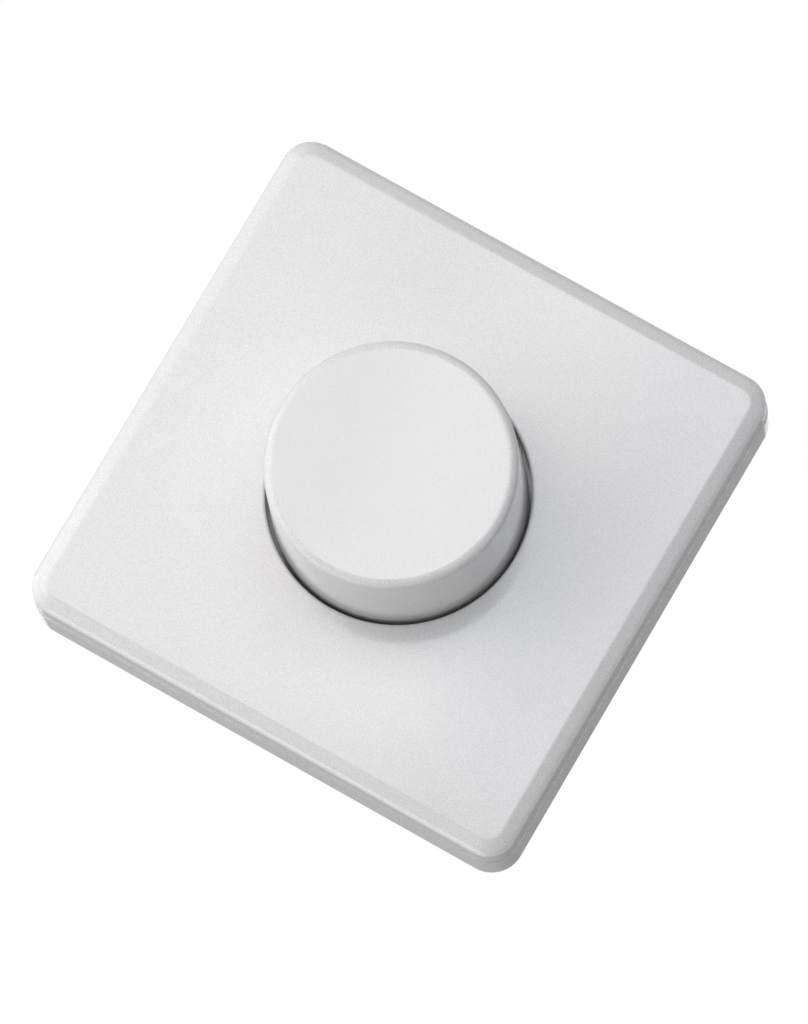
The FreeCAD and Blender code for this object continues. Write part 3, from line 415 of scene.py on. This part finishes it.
@dataclass(frozen=True)
class Lacquer:
    """Dipped or glazed coat on a small electronic part, with colour bands across it."""

    name: str
    colour: Colour
    bands: tuple[tuple[float, Colour], ...] = ()
    centres: tuple[float, ...] = ()
    band_width: float = 0.55 * MM
    roughness: float = 0.25
    coat: float = 0.5
    ripple_size: float = 0.9 * MM
    ripple_tone: float = 0.1
    ripple_rough: float = 0.1
    ripple_depth: float = 0.02 * MM

    def make(self) -> bpy.types.Material:
        """Build the material.

        Returns:
            The finished material.
        """
        material, paint = new_paint(self.name)
        place = paint.place()
        ripple = paint.noise(place, self.ripple_size, detail=2.0)
        dark, light = shade(self.colour, 1 - self.ripple_tone), shade(self.colour, 1 + self.ripple_tone)
        base = paint.blend(dark, light, ripple)
        along = paint.add("ShaderNodeSeparateXYZ", None, {0: place}, out="X")
        for centre in self.centres:
            for offset, colour in self.bands:
                from_middle = along - (centre + offset)
                distance = paint.add("ShaderNodeMath", {"operation": "ABSOLUTE"}, {0: from_middle})
                base = paint.blend(base, colour, 1 - (distance > self.band_width / 2))
        paint.surface({
            "Base Color": base,
            "Roughness": self.roughness + (ripple - 0.5) * self.ripple_rough,
            "Coat Weight": self.coat,
            "Normal": paint.bump(ripple, self.ripple_depth),
        })
        return material


@dataclass(frozen=True)
class ClearGlass:
    """Drawn glass tube with faint lengthwise streaks."""

    name: str
    colour: Colour = (0.95, 0.98, 0.98)
    index: float = 1.5
    roughness: float = 0.02
    streak_size: float = 0.6 * MM
    streak_rough: float = 0.05
    streak_depth: float = 0.004 * MM

    def make(self) -> bpy.types.Material:
        """Build the material.

        Returns:
            The finished material.
        """
        material, paint = new_paint(self.name)
        streaks = paint.noise(paint.place(stretch=Grain.UPRIGHT.value), self.streak_size, detail=2.0)
        paint.surface({
            "Base Color": self.colour,
            "Roughness": self.roughness + streaks * self.streak_rough,
            "Transmission Weight": 1.0,
            "IOR": self.index,
            "Normal": paint.bump(streaks, self.streak_depth),
        })
        return material


Finish = Union[MouldedPlastic, PlatedMetal, PaperLaminate, Lacquer, ClearGlass]

WHITE_PLASTIC = MouldedPlastic("white_plastic", (0.84, 0.826, 0.838), 0.3, 0.11 * MM, 0.005 * MM, 0.34, 0.015,
                               specular=0.2, gloss=0.85)
GREY_PLASTIC = MouldedPlastic("grey_plastic", (0.085, 0.09, 0.095), 0.5, 0.35 * MM, 0.03 * MM, 0.12, 0.05)
BLACK_PLASTIC = MouldedPlastic("black_plastic", (0.028, 0.028, 0.03), 0.42, 0.3 * MM, 0.02 * MM, 0.12, 0.05)
NATURAL_PLASTIC = MouldedPlastic("natural_plastic", (0.66, 0.62, 0.52), 0.4, 0.3 * MM, 0.01 * MM, 0.03, 0.03)
BLACK_EPOXY = MouldedPlastic("black_epoxy", (0.022, 0.022, 0.024), 0.55, 0.2 * MM, 0.03 * MM, 0.15, 0.05)
SILICONE_PAD = MouldedPlastic("silicone_pad", (0.36, 0.42, 0.45), 0.65, 0.4 * MM, 0.02 * MM, 0.06, 0.03)
IRON_POWDER = MouldedPlastic("iron_powder", (0.5, 0.43, 0.08), 0.5, 0.35 * MM, 0.03 * MM, 0.1, 0.06)
YELLOW_FILM = MouldedPlastic("yellow_film", (0.72, 0.5, 0.07), 0.32, 0.4 * MM, 0.01 * MM, 0.04, 0.03)
RED_FILM = MouldedPlastic("red_film", (0.42, 0.06, 0.035), 0.3, 0.4 * MM, 0.01 * MM, 0.05, 0.03)
ZINC_STEEL = PlatedMetal("zinc_plated_steel", (0.60, 0.61, 0.62), (0.62, 0.58, 0.46), 0.34, Grain.LEVEL)
SPRING_STEEL = PlatedMetal("spring_steel", (0.5, 0.5, 0.51), (0.36, 0.34, 0.32), 0.26)
BRASS = PlatedMetal("brass", (0.78, 0.56, 0.22), (0.55, 0.36, 0.14), 0.3, Grain.INTO_WALL)
NICKEL = PlatedMetal("nickel_plate", (0.68, 0.66, 0.62), (0.58, 0.55, 0.48), 0.2, Grain.LEVEL)
CAST_ZINC = PlatedMetal("cast_zinc", (0.55, 0.56, 0.57), (0.42, 0.42, 0.43), 0.4, Grain.INTO_WALL)
ENAMELLED_COPPER = PlatedMetal("enamelled_copper", (0.62, 0.24, 0.09), (0.42, 0.13, 0.05), 0.24)
BOARD_LAMINATE = PaperLaminate("board_laminate", (0.36, 0.22, 0.09))
FUSE_GLASS = ClearGlass("fuse_glass")
BLUE_GLAZE = Lacquer("blue_glaze", (0.05, 0.11, 0.36))


def wear(node: str, finish: bpy.types.Material) -> None:
    """Put a material on every slot of a CAD node.

    Args:
        node: name of the node.
        finish: material to show.
    """
    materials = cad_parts[node].data.materials
    if not materials:
        materials.append(finish)
    for index in range(len(materials)):
        materials[index] = finish
    LOG.info("%s wears %s", node, finish.name)


def merged_copy(node: str, name: str) -> bpy.types.Object:
    """Copy a CAD node's mesh to a new piece, with its loose triangles joined.

    Args:
        node: name of the node.
        name: name of the new piece.

    Returns:
        The new piece, which is the active object.
    """
    piece = bpy.data.objects.new(name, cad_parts[node].data.copy())
    bpy.context.scene.collection.objects.link(piece)
    bpy.ops.object.select_all(action="DESELECT")
    piece.select_set(True)
    bpy.context.view_layer.objects.active = piece
    bpy.ops.mesh.customdata_custom_splitnormals_clear()
    bpy.ops.object.mode_set(mode="EDIT")
    bpy.ops.mesh.select_all(action="SELECT")
    bpy.ops.mesh.remove_doubles(threshold=MERGE_REACH)
    bpy.ops.object.mode_set(mode="OBJECT")
    return piece


@dataclass
class SubAssembly:
    """Pieces of the dimmer that are fitted together, each with its finish."""

    finishes: dict[str, Finish]

    def dress(self, shelf: dict[str, bpy.types.Material]) -> None:
        """Put each CAD node's finish on it.

        Args:
            shelf: materials made so far, by name.
        """
        for node, finish in self.finishes.items():
            if finish.name not in shelf:
                shelf[finish.name] = finish.make()
            wear(node, shelf[finish.name])


@dataclass
class CoverPlate(SubAssembly):
    """Moulded square plate with the nut that clamps it. Its shoulder stands out further than the CAD one."""

    finishes: dict[str, Finish] = field(default_factory=lambda: {
        "cover_plate": WHITE_PLASTIC,
        "plate_nut": BRASS,
    })
    body: str = "insert"
    corner: float = 4.75 * MM
    ledge_height: float = 7.2 * MM
    ledge_slack: float = 0.012 * MM
    skirt_inset: float = 0.132 * MM
    moved_inset: float = 1.694 * MM
    side_inset: float = 0.2 * MM
    shoulder_reach: float = 0.9 * MM
    shoulder_slope: float = math.radians(42)
    border_reach: float = 2.42 * MM
    border_slope: float = math.radians(27.2)
    sharp_angle: float = math.radians(32)
    flat_weight: int = 95

    def inset_at(self, height: float, face_height: float) -> float:
        """Distance of the plate's side from its outline, at a height above the ledge.

        Args:
            height: height above the wall.
            face_height: height of the flat face.

        Returns:
            The distance, on the upright side, the sloping shoulder or the flatter border.
        """
        on_border = self.border_reach - (face_height - height) / math.tan(self.border_slope)
        top = face_height - (self.border_reach - self.shoulder_reach) * math.tan(self.border_slope)
        on_shoulder = self.shoulder_reach - (top - height) / math.tan(self.shoulder_slope)
        return on_border if height > top else max(on_shoulder, self.side_inset)

    def draw_out_shoulder(self, mesh: bpy.types.Mesh) -> None:
        """Move the points of the side and the shoulder out to their new line.

        Args:
            mesh: copy of the CAD plate's mesh.
        """
        low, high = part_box("cover_plate")
        core = high.x - self.corner
        for vertex in mesh.vertices:
            height = high.y - vertex.co.y
            over = Vector((max(abs(vertex.co.x) - core, 0.0), max(abs(vertex.co.z) - core, 0.0)))
            inset = self.corner - over.length
            on_side = self.skirt_inset < inset < self.moved_inset
            if on_side and height > self.ledge_height - self.ledge_slack:
                step = over.normalized() * (inset - self.inset_at(height, high.y - low.y))
                vertex.co.x += math.copysign(step.x, vertex.co.x)
                vertex.co.z += math.copysign(step.y, vertex.co.z)

    def dress(self, shelf: dict[str, bpy.types.Material]) -> None:
        """Dress the nodes, and put the plate with the fuller shoulder in the CAD plate's place.

        Args:
            shelf: materials made so far, by name.
        """
        super().dress(shelf)
        plate = merged_copy("cover_plate", "cover_plate_moulded")
        self.draw_out_shoulder(plate.data)
        bpy.ops.object.shade_smooth_by_angle(angle=self.sharp_angle)
        # Large faces keep their own direction, so that their long triangles do not show as wedges.
        flat = plate.modifiers.new("flat_faces", "WEIGHTED_NORMAL")
        flat.keep_sharp = True
        flat.weight = self.flat_weight
        bpy.ops.object.modifier_apply(modifier=flat.name)
        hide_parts("cover_plate")
        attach(plate, self.body)
        LOG.info("%s stands for cover_plate", plate.name)


@dataclass
class PushTurnKnob(SubAssembly):
    """Knob with its spring ring, spindle and retaining clip."""

    finishes: dict[str, Finish] = field(default_factory=lambda: {
        "knob": WHITE_PLASTIC,
        "knob_grip_ring": SPRING_STEEL,
        "spindle": CAST_ZINC,
        "spindle_clip": ZINC_STEEL,
    })


@dataclass
class SupportFrame(SubAssembly):
    """Stamped frame with the bush, its nut and its washer."""

    finishes: dict[str, Finish] = field(default_factory=lambda: {
        "support_frame": ZINC_STEEL,
        "threaded_bush": CAST_ZINC,
        "bush_nut": ZINC_STEEL,
        "lock_washer": ZINC_STEEL,
    })


@dataclass
class Potentiometer(SubAssembly):
    """Turning resistor behind the support frame."""

    finishes: dict[str, Finish] = field(default_factory=lambda: {
        "pot_case": ZINC_STEEL,
        "track_wafer": BOARD_LAMINATE,
        "wiper_rotor": NATURAL_PLASTIC,
        "wiper_spring": BRASS,
    })


@dataclass
class PushSwitch(SubAssembly):
    """Switch that the spindle presses."""

    finishes: dict[str, Finish] = field(default_factory=lambda: {
        "switch_case": BLACK_PLASTIC,
        "switch_base": BLACK_PLASTIC,
        "switch_plunger": NATURAL_PLASTIC,
        "contact_bridge": BRASS,
        "return_spring": SPRING_STEEL,
        "switch_contacts": BRASS,
    })
    body: str = "insert"
    push: float = 1.6 * MM
    sharp_angle: float = math.radians(40)

    def dress(self, shelf: dict[str, bpy.types.Material]) -> None:
        """Dress the nodes, and put a copy of the CAD spring, with a mesh of its own, in the CAD spring's
        place.

        Args:
            shelf: materials made so far, by name.
        """
        super().dress(shelf)
        spring = merged_copy("return_spring", "return_spring_coil")
        bpy.ops.object.shade_smooth_by_angle(angle=self.sharp_angle)
        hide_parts("return_spring")
        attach(spring, self.body)
        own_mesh(spring)
        LOG.info("%s stands for return_spring", spring.name)


@dataclass
class PowerBoard(SubAssembly):
    """Circuit board with the triac, the choke, the fuse and the small parts."""

    finishes: dict[str, Finish] = field(default_factory=lambda: {
        "circuit_board": BOARD_LAMINATE,
        "triac": BLACK_EPOXY,
        "triac_pad": SILICONE_PAD,
        "triac_screw": ZINC_STEEL,
        "triac_nut": ZINC_STEEL,
        "choke_core": IRON_POWDER,
        "choke_winding": ENAMELLED_COPPER,
        "suppression_capacitor": YELLOW_FILM,
        "timing_capacitor": RED_FILM,
        "trigger_diode": BLUE_GLAZE,
        "fuse_tube": FUSE_GLASS,
        "fuse_caps": NICKEL,
        "fuse_clips": NICKEL,
    })
    resistor_colour: Colour = (0.62, 0.45, 0.26)
    resistor_length: float = 7.5 * MM
    lead_reach: float = 0.6 * MM
    band_pitch: float = 1.1 * MM
    band_colours: tuple[Colour, ...] = (
        (0.35, 0.12, 0.04), (0.02, 0.02, 0.02), (0.7, 0.25, 0.03), (0.6, 0.42, 0.08))

    def dress(self, shelf: dict[str, bpy.types.Material]) -> None:
        """Dress the nodes, and give the resistors their colour bands.

        Args:
            shelf: materials made so far, by name.
        """
        low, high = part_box("resistors")
        reach = self.resistor_length / 2 + self.lead_reach
        centres = (low.x + reach, high.x - reach)
        middle = (len(self.band_colours) - 1) / 2
        bands = tuple((self.band_pitch * (i - middle), colour) for i, colour in enumerate(self.band_colours))
        self.finishes["resistors"] = Lacquer("resistor_lacquer", self.resistor_colour, bands, centres)
        super().dress(shelf)


@dataclass
class Terminals(SubAssembly):
    """Clamp terminals in their block."""

    finishes: dict[str, Finish] = field(default_factory=lambda: {
        "terminal_block": BLACK_PLASTIC,
        "terminal_cages": BRASS,
        "terminal_screws": ZINC_STEEL,
    })


@dataclass
class RearHousing(SubAssembly):
    """Moulded housing of the insert with its screws."""

    finishes: dict[str, Finish] = field(default_factory=lambda: {
        "insert_housing": GREY_PLASTIC,
        "housing_screws": ZINC_STEEL,
    })


@dataclass(frozen=True)
class Lamp:
    """Soft lamp that points at the middle of the plate, square or a strip of a given length."""

    name: str
    place: tuple[float, float, float]
    size: float
    power: float
    colour: Colour = WHITE
    length: float = 0.0

    def build(self, target: Vector) -> None:
        """Add the lamp.

        Args:
            target: point that it faces.
        """
        data = bpy.data.lights.new(self.name, "AREA")
        data.shape = "RECTANGLE"
        data.size = max(self.length, self.size)
        data.size_y = self.size
        data.energy = self.power
        data.color = self.colour
        lamp = bpy.data.objects.new(self.name, data)
        lamp.location = self.place
        lamp.rotation_euler = (target - lamp.location).to_track_quat("-Z", "Y").to_euler()
        bpy.context.scene.collection.objects.link(lamp)
        LOG.info("lamp %s", self.name)


@dataclass(frozen=True)
class PhotoCamera:
    """Long lens in front of the plate, a little below it and rolled, as in the photograph."""

    azimuth: float = 9.18
    elevation: float = -9.305
    roll: float = 30.588
    distance: float = 1.2
    focal_pixels: float = 8288.4
    frame_height: float = 1024.0
    sensor: float = 36.0
    aim: tuple[float, float, float] = (0.0, 0.0, 0.0002)

    def back(self) -> Vector:
        """Direction from the plate to the camera."""
        turn, rise = math.radians(self.azimuth), math.radians(self.elevation)
        return Vector((math.sin(turn) * math.cos(rise), -math.cos(turn) * math.cos(rise), math.sin(rise)))

    def build(self) -> None:
        """Add the camera and make it the scene's."""
        data = bpy.data.cameras.new("photo_camera")
        data.sensor_width = self.sensor
        data.lens = self.focal_pixels / self.frame_height * self.sensor
        camera = bpy.data.objects.new("photo_camera", data)
        back = self.back()
        camera.rotation_mode = "QUATERNION"
        level = (-back).to_track_quat("-Z", "Y")
        camera.rotation_quaternion = level @ Matrix.Rotation(math.radians(self.roll), 3, "Z").to_quaternion()
        camera.location = Vector(self.aim) + back * self.distance
        bpy.context.scene.collection.objects.link(camera)
        bpy.context.scene.camera = camera


@dataclass
class Studio:
    """White surroundings, soft lamps and the camera."""

    fill: float = 0.28
    rear_share: float = 0.35
    front_ends: float = -0.2
    rear_starts: float = 0.5
    floor_drop: float = 0.3
    floor_reach: float = 3.0
    floor_sides: int = 96
    floor_colour: Colour = (0.9, 0.9, 0.9)
    floor_white: float = 0.85
    lamps: list[Lamp] = field(default_factory=lambda: [
        Lamp("key_lamp", (-0.163, -0.433, 0.043), 0.25, 0.38, (1.0, 0.94, 0.89)),
        Lamp("side_lamp", (-0.36, -0.184, -0.21), 0.6, 1.0, (0.93, 0.97, 1.0)),
        Lamp("left_lamp", (-0.3, -0.14, -0.02), 0.4, 0.41, (1.0, 0.98, 0.95)),
        Lamp("top_lamp", (0.069, -0.693, 0.261), 0.4, 1.15, (0.88, 0.93, 1.0)),
        Lamp("low_strip", (0.0, -0.079, -0.285), 0.035, 0.085, length=0.26),
        Lamp("rear_lamp", (-0.2, 0.45, 0.25), 0.7, 1.1),
    ])

    def seen(self, paint: Paint, gloss: Feed) -> Signal:
        """Whiteness of the surroundings for the kinds of ray that show them, nought for the rest.

        Args:
            paint: tree in which the rays are told apart.
            gloss: whiteness for rays of gloss, where those of the camera and through glass have 1.

        Returns:
            The whiteness as a signal.
        """
        camera, glossy, through = [paint.add("ShaderNodeLightPath", out=name)
                                   for name in ("Is Camera Ray", "Is Glossy Ray", "Is Transmission Ray")]
        return camera.most(through).most(glossy * gloss)

    def light_world(self) -> None:
        """Give the world its soft fill, dimmer behind the part than before it, and white where it is seen."""
        world = bpy.data.worlds.new("white_room")
        world.use_nodes = True
        bpy.context.scene.world = world
        paint = Paint(world.node_tree, "ShaderNodeOutputWorld")
        heading = paint.add("ShaderNodeTexCoord", out="Generated")
        rearward = paint.add("ShaderNodeSeparateXYZ", None, {0: heading}, out="Y")
        share = paint.spread(rearward, self.front_ends, self.rear_starts, 1.0, self.rear_share)
        strength = self.seen(paint, share).most(share * self.fill)
        paint.close(paint.add("ShaderNodeBackground", None, {"Color": WHITE, "Strength": strength}))

    def lay_floor(self) -> None:
        """Lay the pale floor well below the part. It shows from above only."""
        bpy.ops.object.select_all(action="DESELECT")
        bpy.ops.mesh.primitive_circle_add(
            vertices=self.floor_sides, radius=self.floor_reach, fill_type="NGON",
            location=(0, 0, CAD_BOX[0].z - self.floor_drop))
        floor = bpy.context.active_object
        floor.name = "floor"
        material, paint = new_paint("pale_floor")
        matt = paint.add("ShaderNodeBsdfDiffuse", None, {"Color": self.floor_colour})
        white = paint.add("ShaderNodeEmission", None, {"Color": WHITE, "Strength": 1.0})
        clear = paint.add("ShaderNodeBsdfTransparent")
        whiteness = self.seen(paint, self.rear_share) * self.floor_white
        top = paint.add("ShaderNodeMixShader", None, {0: whiteness, 1: matt, 2: white})
        back = paint.add("ShaderNodeNewGeometry", out="Backfacing")
        paint.close(paint.add("ShaderNodeMixShader", None, {0: back, 1: top, 2: clear}))
        floor.data.materials.append(material)

    def build(self) -> None:
        """Set up the world, the floor, the lamps and the camera."""
        bpy.context.scene.view_settings.view_transform = "Standard"
        self.light_world()
        self.lay_floor()
        for lamp in self.lamps:
            lamp.build(Vector((0.0, CAD_BOX[0].y / 2, 0.0)))
        PhotoCamera().build()


def main() -> None:
    """Dress every sub-assembly and set up the studio."""
    logging.basicConfig(level=logging.INFO, format="%(message)s")
    shelf: dict[str, bpy.types.Material] = {}
    for group in (CoverPlate(), PushTurnKnob(), SupportFrame(), Potentiometer(), PushSwitch(), PowerBoard(),
                  Terminals(), RearHousing()):
        group.dress(shelf)
    Studio().build()


if __name__ == "__main__":
    main()
